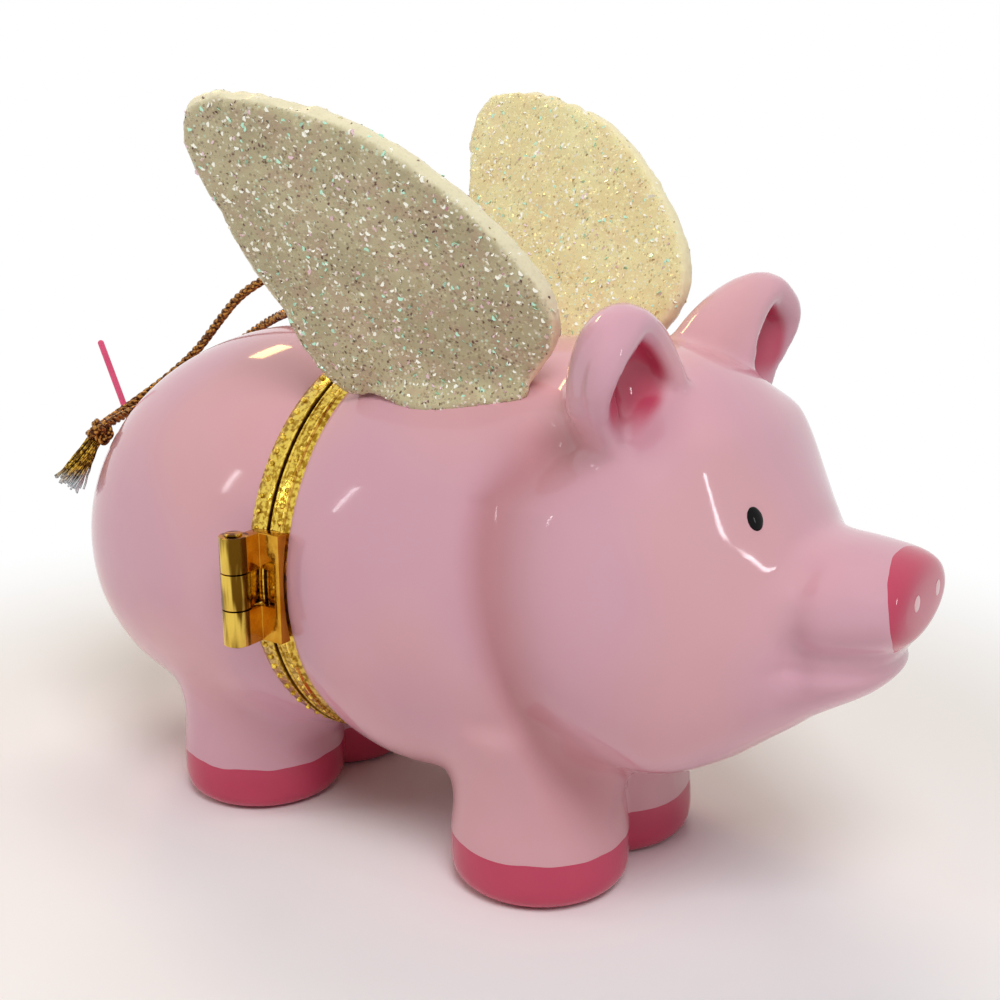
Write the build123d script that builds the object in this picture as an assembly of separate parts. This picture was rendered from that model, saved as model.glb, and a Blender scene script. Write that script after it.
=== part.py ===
from build123d import *
from math import cos, pi, radians, sin, sqrt, tan
import os

os.makedirs("parts", exist_ok=True)

# A hollow porcelain pig with wings, cut in two across the belly and hinged on its right side.
# Millimetres. +X points to the snout, +Y to the pig's left, +Z up, and the hooves stand on z = 0.

# Porcelain body
seam_x = -5.7
axis_height = 29.8
mouth_radius = 20.1
porcelain_wall = 2.4
front_length = 58.4
rear_length = 38.4
side_swell = 0.8
back_swell = 2.5
belly_swell = 2.3
shoulder_step = 0.35

# Legs and hooves
front_leg_reach = 22.4
rear_leg_reach = 14.5
leg_offset = 6.6
leg_radius = 8.65
leg_taper_height = 8.0
leg_flare = 1.0
leg_sink = 10.8
hoof_radius = 8.9
hoof_height = 5.2
hoof_round = 2.2

# Ears, each an egg that leans outwards and nods forwards, with a cup cut in its front
ear_reach = 32.5
ear_offset = 9.3
ear_sink = 2.3
ear_half_length = 10.8
ear_half_width = 6.4
ear_half_depth = 4.7
ear_lean = 48.0
ear_nod = 14.0
ear_cup_reach = 36.9
ear_cup_offset = 12.6
ear_cup_sink = 0.6
ear_cup_lean = 30.0
ear_cup_half_length = 5.6
ear_cup_half_width = 4.7
ear_cup_half_depth = 4.3

# Metal rims, one on each half
seam_gap = 0.3
bezel_width = 2.3
bezel_wall = 0.65
bezel_flange = 0.5
cement_gap = 0.05

# Hinge on the right side
knuckle_radius = 1.4
knuckle_length = 3.5
knuckle_gap = 0.12
hinge_set_back = 1.3
hinge_stand_off = 2.55
pin_radius = 0.5
pin_clearance = 0.05
pin_head_radius = 0.85
pin_head_height = 0.25
leaf_thickness = 0.6
leaf_clearance = 0.12
leaf_web_width = 0.7
rear_lug_half_width = 0.9

# Clasp on the left side
tab_width = 4.0
tab_thickness = 0.5
tab_clearance = 0.15
stud_radius = 0.6
stud_height = 0.75
stud_round = 0.2
fork_clearance = 0.12
fork_overhang = 0.8

# Wings, each a plate that leans outwards and whose front edge turns inwards
wing_lean = 21.8
wing_turn = 8.0
wing_root_inset = 8.0
wing_root_sink = 5.4
wing_height = 30.6
wing_length = 34.5
wing_set_back = 7.2
wing_thickness = 2.6
wing_edge_round = 1.0
peg_radius = 1.0
peg_length = 1.4
peg_grip = 3.0
peg_clearance = 0.05
peg_tip_gap = 0.1
peg_reach = 17.4
# Rounds taken to find where a leaning peg meets the back
peg_rounds = 6

# Tail wire
tail_radius = 0.37
tail_root_rise = 6.1
tail_stub = 0.2
tail_bend_radius = 1.2
tail_bend_angle = 65.1
tail_straight = 13.9
tail_plug = 1.4
tail_hole_clearance = 0.03

# Hanging eye, cord, knot and tassel
eye_wire_radius = 0.45
eye_radius = 1.9
eye_foot_radius = 0.9
cord_radius = 0.55
knot_radius = 1.7
knot_half_length = 1.9
tassel_neck_radius = 0.8
tassel_end_radius = 1.9

# One overrun for all cuts
overrun = 1.0

# Outlines, as shares chosen by hand.
# Body rows: along the half, top over back_rise, bottom under belly_drop, middle over back_rise,
# and width over body_half_width.
rear_body_shares = [
    (0.130, 0.935, 0.972, -0.027, 0.990),
    (0.309, 0.950, 1.009, -0.053, 0.990),
    (0.515, 0.885, 0.991, -0.080, 0.938),
    (0.696, 0.750, 0.945, -0.106, 0.842),
    (0.850, 0.545, 0.825, -0.124, 0.670),
    (0.950, 0.292, 0.620, -0.133, 0.445),
]
rear_tip_share = -0.133
front_body_shares = [
    (0.103, 0.956, 1.000, -0.018, 1.000),
    (0.240, 0.996, 0.991, 0.000, 0.990),
    (0.377, 1.026, 0.929, 0.035, 0.957),
    (0.497, 1.040, 0.830, 0.071, 0.938),
    (0.600, 1.005, 0.760, 0.100, 0.890),
    (0.693, 0.857, 0.648, 0.130, 0.770),
    (0.771, 0.560, 0.509, 0.020, 0.550),
    (0.830, 0.390, 0.386, 0.015, 0.420),
    (0.899, 0.363, 0.263, 0.065, 0.365),
    (0.952, 0.341, 0.130, 0.090, 0.340),
    (0.980, 0.275, 0.015, 0.080, 0.280),
]
# The cavity follows the first rows of each half, then closes at a point
rear_cavity_rows = 5
front_cavity_rows = 6
front_cavity_tip_shares = (0.760, 0.090)
# Wing rows: along from the trailing edge, up from the root.
wing_outline_shares = [
    (0.320, 0.010),
    (0.215, 0.140),
    (0.162, 0.333),
    (0.102, 0.470),
    (0.052, 0.650),
    (0.008, 0.850),
    (0.045, 0.960),
    (0.190, 0.998),
    (0.360, 0.968),
    (0.520, 0.912),
    (0.740, 0.750),
    (0.930, 0.525),
    (0.990, 0.400),
    (0.990, 0.280),
    (0.905, 0.135),
    (0.780, 0.010),
    (0.600, -0.035),
    (0.445, -0.050),
]

# Routes of the two strands of the cord, from the hanging eye to the knot
far_strand_route = [
    (-7.6, 0.0, 52.6), (-7.6, 2.8, 52.6), (-9.5, 5.3, 54.2), (-13.9, 6.4, 56.0),
    (-19.7, 6.0, 56.9), (-25.7, 4.8, 56.0), (-31.1, 4.1, 53.3), (-35.3, 4.4, 49.6),
    (-39.1, 4.5, 45.8), (-42.5, 2.8, 42.5), (-44.1, -0.6, 40.2), (-43.5, -4.6, 39.1),
    (-42.1, -7.8, 38.8), (-40.6, -9.9, 38.8),
]
near_strand_route = [
    (-7.6, 0.0, 52.6), (-7.6, -2.8, 52.6), (-10.1, -4.5, 52.9), (-14.5, -3.1, 53.0),
    (-18.7, -0.6, 52.7), (-22.9, 2.2, 51.8), (-27.3, 4.0, 50.2), (-31.7, 4.8, 47.9),
    (-35.9, 4.7, 45.2), (-39.5, 3.2, 42.3), (-41.5, 0.0, 40.3), (-41.6, -4.0, 39.6),
    (-40.5, -7.4, 39.5), (-39.7, -9.9, 39.1),
]
knot_place = (-40.1, -10.3, 38.5)
tassel_end_place = (-43.0, -13.0, 32.4)
# Each arc of a strand takes this share of the shorter run beside it
bend_share = 0.45

half_circle_angle = 180

# Sizes and places that follow from the others
body_half_width = mouth_radius + side_swell
back_rise = mouth_radius + back_swell
belly_drop = mouth_radius + belly_swell
ear_rise = back_rise - ear_sink
ear_cup_rise = back_rise - ear_cup_sink
wing_root_offset = body_half_width - wing_root_inset
wing_root_rise = back_rise - wing_root_sink
tail_root_z = axis_height + rear_tip_share * back_rise + tail_root_rise
bezel_outer = mouth_radius + cement_gap + bezel_wall
face_offset = seam_gap / 2
porcelain_offset = face_offset + bezel_flange
shoulder_offset = face_offset + bezel_width
hinge_x = seam_x - hinge_set_back
hinge_y = -(bezel_outer + hinge_stand_off)
rear_rim_x = seam_x - face_offset - bezel_width / 2
knuckle_step = knuckle_length + knuckle_gap
leg_rise = axis_height - leg_sink


def body_row(half, row):
    """Turn a row of shares into x, top, bottom, middle and half width."""
    along, top, bottom, middle, width = row
    length = front_length if half > 0 else rear_length
    return [seam_x + half * along * length, axis_height + top * back_rise,
            axis_height - bottom * belly_drop, axis_height + middle * back_rise,
            width * body_half_width]


def inner_row(half, row):
    """The same row inside the wall, drawn in along the half as well."""
    x, top, bottom, middle, half_width = body_row(half, row)
    length = front_length if half > 0 else rear_length
    drawn_x = seam_x + (x - seam_x) * (length - porcelain_wall) / length
    return [drawn_x, top - porcelain_wall, bottom + porcelain_wall, middle,
            half_width - porcelain_wall]


def round_row(x, radius):
    return [x, axis_height + radius, axis_height - radius, axis_height, radius]


def section(row):
    """A section of two half ellipses that meet at the widest line."""
    x, top, bottom, middle, half_width = row
    upper = EllipticalCenterArc((0, middle), half_width, top - middle, start_angle=0,
                                arc_size=half_circle_angle)
    lower = EllipticalCenterArc((0, middle), half_width, middle - bottom,
                                start_angle=half_circle_angle, arc_size=half_circle_angle)
    return Plane.YZ.offset(x) * make_face([upper, lower])


def front_surface_height(x, y):
    """Height of the front half's back at x and y."""
    rows = [body_row(1, row) for row in front_body_shares]
    low, high = rows[0], rows[1]
    for index in range(len(rows) - 1):
        if rows[index][0] <= x:
            low, high = rows[index], rows[index + 1]
    part = (x - low[0]) / (high[0] - low[0])
    top = low[1] + part * (high[1] - low[1])
    middle = low[3] + part * (high[3] - low[3])
    half_width = low[4] + part * (high[4] - low[4])
    return middle + (top - middle) * sqrt(max(0, 1 - (y / half_width) ** 2))


def rump_x(z):
    """Where the rump's centre line is, between its tip and the last row."""
    row_x, row_z = body_row(-1, rear_body_shares[-1])[0:2]
    tip_x = seam_x - rear_length
    tip_z = axis_height + rear_tip_share * back_rise
    part = (z - tip_z) / (row_z - tip_z)
    return tip_x + (row_x - tip_x) * (1 - sqrt(max(0, 1 - part ** 2)))


def cylinder_x(start, end, radius):
    """A cylinder about the mouth's axis, from start to end along X."""
    middle = (start + end) / 2
    return Pos(middle, 0, axis_height) * Rot(0, 90, 0) * Cylinder(radius, abs(end - start))


def leg(half, side):
    """A straight leg with a round-edged hoof, which flares where it joins the belly."""
    reach = front_leg_reach if half > 0 else -rear_leg_reach
    low = hoof_radius - hoof_round
    bend = RadiusArc((low, 0), (hoof_radius, hoof_round), -hoof_round)
    sides = Polyline((hoof_radius, hoof_round), (hoof_radius, hoof_height),
                     (leg_radius, leg_taper_height), (leg_radius + leg_flare, leg_rise),
                     (0, leg_rise), (0, 0), (low, 0))
    outline = Plane.XZ * make_face([bend, sides])
    return Pos(seam_x + reach, side * leg_offset, 0) * revolve(outline, Axis.Z)


def ear(side):
    """One ear: an egg that leans outwards, with a cup cut in its front."""
    egg = scale(Sphere(1), by=(ear_half_depth, ear_half_width, ear_half_length))
    place = Pos(seam_x + ear_reach, side * ear_offset, axis_height + ear_rise)
    egg = place * Rot(-side * ear_lean, 0, 0) * Rot(0, ear_nod, 0) * egg
    cup = scale(Sphere(1), by=(ear_cup_half_depth, ear_cup_half_width, ear_cup_half_length))
    place = Pos(seam_x + ear_cup_reach, side * ear_cup_offset, axis_height + ear_cup_rise)
    return egg - place * Rot(-side * ear_cup_lean, 0, 0) * cup


def porcelain_outside(half):
    """One half without its cavity: neck, body and legs."""
    rows = front_body_shares if half > 0 else rear_body_shares
    shoulder_x = seam_x + half * shoulder_offset
    sections = [section(round_row(shoulder_x, mouth_radius + shoulder_step))]
    sections += [section(body_row(half, row)) for row in rows]
    if half < 0:
        sections.append(Vertex(seam_x - rear_length, 0, axis_height + rear_tip_share * back_rise))
    neck = cylinder_x(seam_x + half * porcelain_offset, shoulder_x + half * overrun, mouth_radius)
    return loft(sections) + neck + leg(half, -1) + leg(half, 1)


def cavity(half):
    """The room inside one half, open at the mouth."""
    rows = front_body_shares[:front_cavity_rows] if half > 0 else rear_body_shares[:rear_cavity_rows]
    inner_radius = mouth_radius - porcelain_wall
    shoulder_x = seam_x + half * shoulder_offset
    sections = [section(round_row(shoulder_x, inner_radius))]
    sections += [section(inner_row(half, row)) for row in rows]
    if half > 0:
        along, rise = front_cavity_tip_shares
        sections.append(Vertex(seam_x + along * front_length, 0, axis_height + rise * back_rise))
    else:
        tip_x = seam_x - rear_length + porcelain_wall
        sections.append(Vertex(tip_x, 0, axis_height + rear_tip_share * back_rise))
    return loft(sections) + cylinder_x(seam_x, shoulder_x, inner_radius)


def bezel(half):
    """A metal rim: a band round the neck and a flange over the cut edge."""
    start = seam_x + half * face_offset
    band = cylinder_x(start, seam_x + half * shoulder_offset, bezel_outer)
    room = cylinder_x(start + half * bezel_flange, seam_x + half * (shoulder_offset + overrun),
                      mouth_radius + cement_gap)
    mouth = cylinder_x(seam_x - half * overrun, seam_x + half * (shoulder_offset + overrun),
                       mouth_radius - porcelain_wall)
    return band - room - mouth


def knuckle(level):
    """One knuckle of the hinge; level 0 is the middle one."""
    return Pos(hinge_x, hinge_y, axis_height + level * knuckle_step) * Cylinder(
        knuckle_radius, knuckle_length)


def slab(points, level_low, level_high):
    """An outline in plan, given from the hinge's axis, between two heights from the mouth's axis."""
    outline = make_face(Polyline(*points, close=True))
    height = level_high - level_low
    return Pos(hinge_x, hinge_y, axis_height + level_low) * extrude(outline, height)


def hinge_bore():
    """The hole through all three knuckles, with a step to spare."""
    length = 2 * (knuckle_step + knuckle_length)
    return Pos(hinge_x, hinge_y, axis_height) * Cylinder(pin_radius + pin_clearance, length)


def front_hinge_leaf():
    """Two knuckles whose straps join on the front rim."""
    strap_outer = hinge_stand_off - leaf_thickness
    front_edge = hinge_set_back + shoulder_offset
    deep = hinge_stand_off + bezel_wall + overrun
    strap = [(0, 0), (knuckle_radius, 0), (knuckle_radius, strap_outer), (front_edge, strap_outer),
             (front_edge, deep), (0, deep)]
    web = [(front_edge - leaf_web_width, strap_outer), (front_edge, strap_outer),
           (front_edge, deep), (front_edge - leaf_web_width, deep)]
    half_length = knuckle_length / 2
    leaf = slab(web, -knuckle_step, knuckle_step)
    for level in (-1, 1):
        middle = level * knuckle_step
        leaf += slab(strap, middle - half_length, middle + half_length) + knuckle(level)
    rim_edge = seam_x + face_offset
    leaf -= cylinder_x(rim_edge, rim_edge + bezel_width + overrun, bezel_outer)
    leaf -= cylinder_x(hinge_x - knuckle_radius - overrun, rim_edge, bezel_outer + leaf_clearance)
    return leaf - hinge_bore()


def rear_hinge_leaf():
    """The middle knuckle on its lug, which stands on the rear rim."""
    deep = hinge_stand_off + bezel_wall + overrun
    lug = [(-rear_lug_half_width, 0), (rear_lug_half_width, 0), (rear_lug_half_width, deep),
           (-rear_lug_half_width, deep)]
    half_length = knuckle_length / 2
    leaf = slab(lug, -half_length, half_length) + knuckle(0)
    leaf -= cylinder_x(hinge_x - knuckle_radius - overrun, seam_x, bezel_outer)
    return leaf - hinge_bore()


def hinge_pin():
    """The pin, with a thin head at each end."""
    half_length = knuckle_step + knuckle_length / 2
    pin = Cylinder(pin_radius, 2 * half_length)
    for level in (-1, 1):
        pin += Pos(0, 0, level * (half_length + pin_head_height / 2)) * Cylinder(
            pin_head_radius, pin_head_height)
    return Pos(hinge_x, hinge_y, axis_height) * pin


def clasp_tab():
    """A spring tab on the front rim whose fork reaches past the stud."""
    front_edge = seam_x + shoulder_offset
    rear_edge = rear_rim_x - stud_radius - fork_overhang
    depth = bezel_wall + tab_clearance + tab_thickness
    top = bezel_outer - bezel_wall + depth
    tab = Pos((front_edge + rear_edge) / 2, top - depth / 2, axis_height) * Box(
        front_edge - rear_edge, depth, tab_width)
    tab -= cylinder_x(seam_x + face_offset, front_edge + overrun, bezel_outer)
    tab -= cylinder_x(rear_edge - overrun, seam_x + face_offset, bezel_outer + tab_clearance)
    notch_radius = stud_radius + fork_clearance
    notch = Pos(rear_rim_x, top, axis_height) * Rot(90, 0, 0) * Cylinder(notch_radius, 2 * depth)
    mouth_end = rear_edge - overrun
    notch += Pos((mouth_end + rear_rim_x) / 2, top, axis_height) * Box(
        rear_rim_x - mouth_end, 2 * depth, 2 * notch_radius)
    return tab - notch


def clasp_stud():
    """A round-headed stud on the rear rim."""
    root = bezel_outer - bezel_wall
    stud = Cylinder(stud_radius, bezel_wall + stud_height)
    stud = fillet(stud.edges().sort_by(Axis.Z)[-1], stud_round)
    middle = root + (bezel_wall + stud_height) / 2
    stud = Pos(rear_rim_x, middle, axis_height) * Rot(-90, 0, 0) * stud
    return stud - cylinder_x(rear_rim_x - bezel_width, seam_x, bezel_outer)


def wing_turned(side, direction):
    """A direction of an unturned wing, turned about the vertical as the wing is."""
    return Vector(*direction).rotate(Axis.Z, -side * wing_turn)


def wing_plane(side):
    """The plane of a wing: local x runs forward and local y up the lean."""
    lean = radians(wing_lean)
    return Plane(origin=(seam_x - wing_set_back, side * wing_root_offset, axis_height + wing_root_rise),
                 x_dir=wing_turned(side, (1, 0, 0)),
                 z_dir=wing_turned(side, (0, -cos(lean), side * sin(lean))))


def peg_plane(side):
    """Where a wing's peg enters the back: the plane's normal runs up the lean."""
    lean = radians(wing_lean)
    turn = radians(wing_turn)
    x = seam_x + peg_reach
    root_y = wing_root_offset - (peg_reach + wing_set_back) * tan(turn)
    root_z = axis_height + wing_root_rise
    z = root_z
    for _ in range(peg_rounds):
        y = root_y + (z - root_z) * tan(lean) / cos(turn)
        z = front_surface_height(x, y)
    return Plane(origin=(x, side * y, z), x_dir=wing_turned(side, (1, 0, 0)),
                 z_dir=wing_turned(side, (0, side * sin(lean), cos(lean))))


def wing(side, outside):
    """A wing's plate, trimmed to the back that it stands on, with its peg."""
    points = [(along * wing_length, up * wing_height) for along, up in wing_outline_shares]
    outline = make_face(Spline(*points, periodic=True))
    plate = extrude(wing_plane(side) * outline, wing_thickness / 2, both=True)
    plate = fillet(plate.edges(), wing_edge_round)
    peg = Pos(0, 0, (peg_grip - peg_length) / 2) * Cylinder(peg_radius, peg_grip + peg_length)
    return plate - outside + peg_plane(side) * peg


def wing_socket(side):
    """The blind hole for a wing's peg."""
    depth = peg_length + peg_tip_gap
    hole = Pos(0, 0, (overrun - depth) / 2) * Cylinder(peg_radius + peg_clearance, overrun + depth)
    return peg_plane(side) * hole


def tail_wire():
    """The tail: a wire that leaves the rump, bends up and runs straight."""
    root_x = rump_x(tail_root_z)
    bend_start = (root_x - tail_stub, tail_root_z)
    plug = Line((root_x + tail_plug, tail_root_z), bend_start)
    bend = JernArc(bend_start, (-1, 0), tail_bend_radius, -tail_bend_angle)
    straight = Line(bend @ 1, bend @ 1 + (bend % 1) * tail_straight)
    path = Plane.XZ * Curve([plug, bend, straight])
    start = Plane(origin=(root_x + tail_plug, 0, tail_root_z), z_dir=(-1, 0, 0))
    tip = straight @ 1
    return sweep(start * Circle(tail_radius), path=path) + Pos(tip.X, 0, tip.Y) * Sphere(tail_radius)


def tail_hole():
    """The hole in the rump that the tail's plug fills."""
    length = tail_plug + overrun
    hole = Rot(0, 90, 0) * Cylinder(tail_radius + tail_hole_clearance, length)
    return Pos(rump_x(tail_root_z) + tail_plug - length / 2, 0, tail_root_z) * hole


def hanging_eye():
    """A wire ring with a solder foot, on top of the rear rim."""
    base = axis_height + bezel_outer
    ring = Pos(rear_rim_x, 0, base + eye_radius) * Rot(90, 0, 0) * Torus(eye_radius, eye_wire_radius)
    foot = Pos(rear_rim_x, 0, base) * Cylinder(eye_foot_radius, 2 * eye_wire_radius)
    return ring + foot - cylinder_x(rear_rim_x - bezel_width, seam_x, bezel_outer)


def strand(name, route):
    """One strand of the cord: straight runs joined by tangent arcs."""
    radii = []
    for before, corner, after in zip(route, route[1:], route[2:]):
        run_in = Vector(corner) - Vector(before)
        run_out = Vector(after) - Vector(corner)
        half_turn = radians(run_in.get_angle(run_out)) / 2
        radii.append(bend_share * min(run_in.length, run_out.length) / tan(half_turn))
    path = FilletPolyline(*route, radius=radii)
    tube = sweep(Plane(origin=path @ 0, z_dir=path % 0) * Circle(cord_radius), path=path)
    print(name, "radii", [round(radius, 1) for radius in radii], "length", round(path.length, 1),
          "volume over section times length",
          round(tube.volume / (pi * cord_radius ** 2 * path.length), 4))
    return tube


def knot_plane():
    """The knot's place, with its normal towards the tassel."""
    return Plane(origin=knot_place, z_dir=Vector(tassel_end_place) - Vector(knot_place))


def knot():
    egg = scale(Sphere(1), by=(knot_radius, knot_radius, knot_half_length))
    return knot_plane() * egg


def tassel():
    """The frayed ends below the knot, as one cone."""
    length = (Vector(tassel_end_place) - Vector(knot_place)).length
    cone = Pos(0, 0, length / 2) * Cone(tassel_neck_radius, tassel_end_radius, length)
    return knot_plane() * cone - knot()


# Build every node
front_outside = porcelain_outside(1)
front_with_ears = front_outside + ear(-1) + ear(1)
nodes = {
    "front_body": front_with_ears - cavity(1) - wing_socket(-1) - wing_socket(1),
    "rear_body": porcelain_outside(-1) - cavity(-1) - tail_hole(),
    "front_bezel": bezel(1),
    "rear_bezel": bezel(-1),
    "front_hinge_leaf": front_hinge_leaf(),
    "rear_hinge_leaf": rear_hinge_leaf(),
    "hinge_pin": hinge_pin(),
    "clasp_tab": clasp_tab(),
    "clasp_stud": clasp_stud(),
    "wing_right": wing(-1, front_with_ears),
    "wing_left": wing(1, front_with_ears),
    "tail_wire": tail_wire(),
    "hanging_eye": hanging_eye(),
    "cord_strand_far": strand("cord_strand_far", far_strand_route) - knot(),
    "cord_strand_near": strand("cord_strand_near", near_strand_route) - knot(),
    "cord_knot": knot(),
    "cord_tassel": tassel(),
}
for name, shape in nodes.items():
    shape.label = name
    export_step(shape, f"parts/{name}.step")
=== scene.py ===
import random
from math import cos, exp, hypot, pi, radians, sin, sqrt, tau

import bmesh
import bpy
from mathutils import Matrix, Vector, noise
from mathutils.bvhtree import BVHTree


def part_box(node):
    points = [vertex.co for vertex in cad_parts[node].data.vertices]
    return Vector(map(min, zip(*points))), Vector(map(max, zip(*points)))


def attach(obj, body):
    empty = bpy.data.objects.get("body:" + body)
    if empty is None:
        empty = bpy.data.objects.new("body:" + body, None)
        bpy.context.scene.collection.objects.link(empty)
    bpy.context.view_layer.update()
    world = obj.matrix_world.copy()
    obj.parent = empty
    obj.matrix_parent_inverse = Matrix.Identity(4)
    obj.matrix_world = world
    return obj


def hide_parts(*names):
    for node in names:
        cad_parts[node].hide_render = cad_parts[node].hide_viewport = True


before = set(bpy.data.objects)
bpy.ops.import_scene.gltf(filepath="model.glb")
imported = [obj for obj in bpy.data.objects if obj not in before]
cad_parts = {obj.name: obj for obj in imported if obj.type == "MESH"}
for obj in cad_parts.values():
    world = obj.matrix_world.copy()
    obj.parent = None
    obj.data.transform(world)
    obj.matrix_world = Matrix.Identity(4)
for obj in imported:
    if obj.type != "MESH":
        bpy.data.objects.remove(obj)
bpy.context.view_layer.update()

# Metres. +X runs to the snout, +Y to the pig's left, +Z up, and the hooves stand on z = 0.
mm = 0.001

# Places read from the frame
front_rim_low, front_rim_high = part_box("front_bezel")
rear_rim_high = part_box("rear_bezel")[1]
nose_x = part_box("front_body")[1].x
rump_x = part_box("rear_body")[0].x
seam_x = (front_rim_low.x + rear_rim_high.x) / 2
axis_height = (front_rim_low.z + front_rim_high.z) / 2
rim_radius = (front_rim_high.z - front_rim_low.z) / 2
rim_width = front_rim_high.x - front_rim_low.x
rim_face = front_rim_low.x - seam_x
pin_low, pin_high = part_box("hinge_pin")
pin_x = (pin_low.x + pin_high.x) / 2
pin_y = (pin_low.y + pin_high.y) / 2
knuckle_radius = pin_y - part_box("rear_hinge_leaf")[0].y

# Porcelain sizes
mouth_radius = 20.1 * mm
porcelain_wall = 2.4 * mm
flange = 0.5 * mm
porcelain_face = rim_face + flange
shoulder_radius = mouth_radius + 0.35 * mm
body_half_width = 20.9 * mm
back_rise = 22.6 * mm
belly_drop = 22.4 * mm
nose_share = 0.980
front_length = (nose_x - seam_x) / nose_share
rear_length = seam_x - rump_x
voxel = 0.45 * mm

# Body rows: along the half, top over back_rise, bottom under belly_drop, middle over back_rise,
# and width over body_half_width
rear_rows = [
    (0.130, 0.935, 0.972, -0.027, 0.990), (0.309, 0.950, 1.009, -0.053, 0.990),
    (0.515, 0.885, 0.991, -0.080, 0.938), (0.696, 0.750, 0.945, -0.106, 0.842),
    (0.850, 0.545, 0.825, -0.124, 0.670), (0.950, 0.292, 0.620, -0.133, 0.445),
    (0.990, 0.050, 0.380, -0.133, 0.200), (1.000, -0.113, 0.154, -0.133, 0.010),
]
front_rows = [
    (0.103, 0.956, 1.000, -0.018, 1.000), (0.240, 0.996, 0.991, 0.000, 0.990),
    (0.377, 1.026, 0.929, 0.035, 0.957), (0.497, 1.040, 0.830, 0.071, 0.938),
    (0.600, 1.005, 0.760, 0.100, 0.890), (0.693, 0.857, 0.648, 0.110, 0.780),
    (0.765, 0.575, 0.515, 0.040, 0.590), (0.812, 0.380, 0.420, 0.010, 0.440),
    (0.838, 0.250, 0.310, -0.010, 0.290), (0.848, 0.080, 0.120, -0.020, 0.020),
]
cavity_tip_share = 0.760
cavity_front_rows = 6
cavity_rear_rows = 5

# Snout and chin: x, top, bottom, middle and half width, in millimetres
snout_rows = [
    (37.0, 38.1, 27.2, 32.6, 9.6), (43.0, 38.1, 27.4, 32.6, 9.3), (47.0, 37.8, 28.0, 33.0, 8.3),
    (49.6, 37.4, 28.9, 33.3, 7.3), (50.8, 36.8, 29.8, 33.4, 6.5), (51.3, 35.8, 31.0, 33.5, 5.0),
    (51.45, 33.7, 33.3, 33.5, 0.4),
]
chin_rows = [
    (34.0, 31.0, 18.5, 27.0, 9.0), (40.5, 31.0, 20.0, 27.0, 8.4), (44.8, 31.0, 22.6, 27.0, 7.2),
    (47.8, 30.8, 24.6, 27.3, 5.6), (49.2, 30.2, 26.0, 27.8, 3.9), (49.8, 29.2, 27.0, 28.0, 2.0),
    (49.9, 28.3, 27.9, 28.1, 0.3),
]

# Legs
front_leg_reach = 22.4 * mm
rear_leg_reach = 14.5 * mm
leg_offset = 6.6 * mm
leg_radius = 8.65 * mm
leg_flare = 2.6 * mm
leg_flare_low = 4 * mm
leg_flare_height = 9 * mm
leg_top = 18.5 * mm
hoof_radius = 8.9 * mm
hoof_height = 5.2 * mm
hoof_round = 2.2 * mm
hoof_shoulder = 2.6 * mm

# Ears
ear_reach = 32.5 * mm
ear_offset = 9.3 * mm
ear_rise = back_rise - 2.3 * mm
ear_half = Vector((4.7, 6.4, 10.8)) * mm
ear_lean = 48
ear_nod = 14
cup_offset = 12.6 * mm
cup_height = 51.8 * mm
cup_radius = 5.4 * mm
cup_depth = 5.2 * mm
blush_offset = 12.6 * mm
blush_height = 51.6 * mm
blush_radius = 5.6 * mm
blush_back = 24.4 * mm
blush_face = 31.2 * mm
blush_low = 47.0 * mm
blush_full = 50.5 * mm
# The rolled edge of an ear from the head over the tip to the cheek: x, distance from the pig's
# middle, height and radius of the roll, in millimetres
ear_roll = [
    (30.6, 5.6, 49.6, 0.9), (30.5, 7.0, 51.5, 1.0), (30.2, 8.7, 53.6, 1.1), (29.9, 10.8, 55.8, 1.3),
    (29.8, 13.4, 56.9, 1.5), (29.9, 15.5, 55.7, 1.6), (29.8, 17.0, 54.8, 1.55), (29.6, 17.9, 53.3, 1.4),
    (29.1, 17.8, 51.4, 1.2), (28.6, 16.7, 49.4, 1.1), (28.5, 15.3, 47.4, 1.1), (29.0, 13.2, 44.4, 1.0),
]
# What fills the hollow behind the roll's lower end, in the same way
ear_root = [
    (26.2, 12.4, 45.8, 2.1), (26.5, 14.0, 48.0, 2.4), (26.8, 15.2, 50.4, 2.3), (27.3, 15.9, 52.6, 1.9),
]

# The groove between head and torso, the crease at the snout's root, and the line of the mouth
neck_reach = 23.4 * mm
neck_curve_top = axis_height + 14 * mm
neck_curve = 0.0062 / mm
neck_lean_start = axis_height + 11 * mm
neck_lean = 0.9
neck_widening = 0.45
neck_end_low = axis_height + 16 * mm
neck_end_high = axis_height + 20 * mm
groove_depth = 1.35 * mm
groove_behind = 1.7 * mm
groove_ahead = 5.0 * mm
cheek_swell = 0.8 * mm
cheek_ahead = 10 * mm
cheek_width = 6 * mm
snout_root_x = 43.0 * mm
snout_root_low = 26 * mm
snout_root_high = 38 * mm
snout_root_depth = 0.55 * mm
snout_root_width = 1.3 * mm
mouth_drop = 1.9 * mm
mouth_depth = 0.4 * mm
mouth_width = 0.65 * mm
mouth_slope = 0.05
mouth_back = 12 * mm
mouth_full = 7 * mm

# Where the joins are softened: heights, and distances ahead of the seam
belly_line = axis_height - 12 * mm
ear_foot = axis_height + ear_rise - 2 * mm
roll_end_height = 44.6 * mm
roll_end_reach = 34.5 * mm
snout_join_reach = 48 * mm
soft_rounds = 60

# Face
near_eye_place = Vector((38.75, -7.85, 40.5)) * mm
far_eye_place = Vector((34.2, 12.8, 40.6)) * mm
# How far they stand out, and their half width and half height
eye_half_sizes = (0.3 * mm, 0.85 * mm, 1.05 * mm)
nostril_half_sizes = (0.06 * mm, 0.60 * mm, 0.72 * mm)
cap_height = 32.6 * mm
cap_low = axis_height - 0.5 * mm
cap_depth = 1.0 * mm
cap_back = 5 * mm
cap_curl = 0.070 / mm
nostril_place = Vector((51.5, 2.6, 33.9)) * mm

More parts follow.
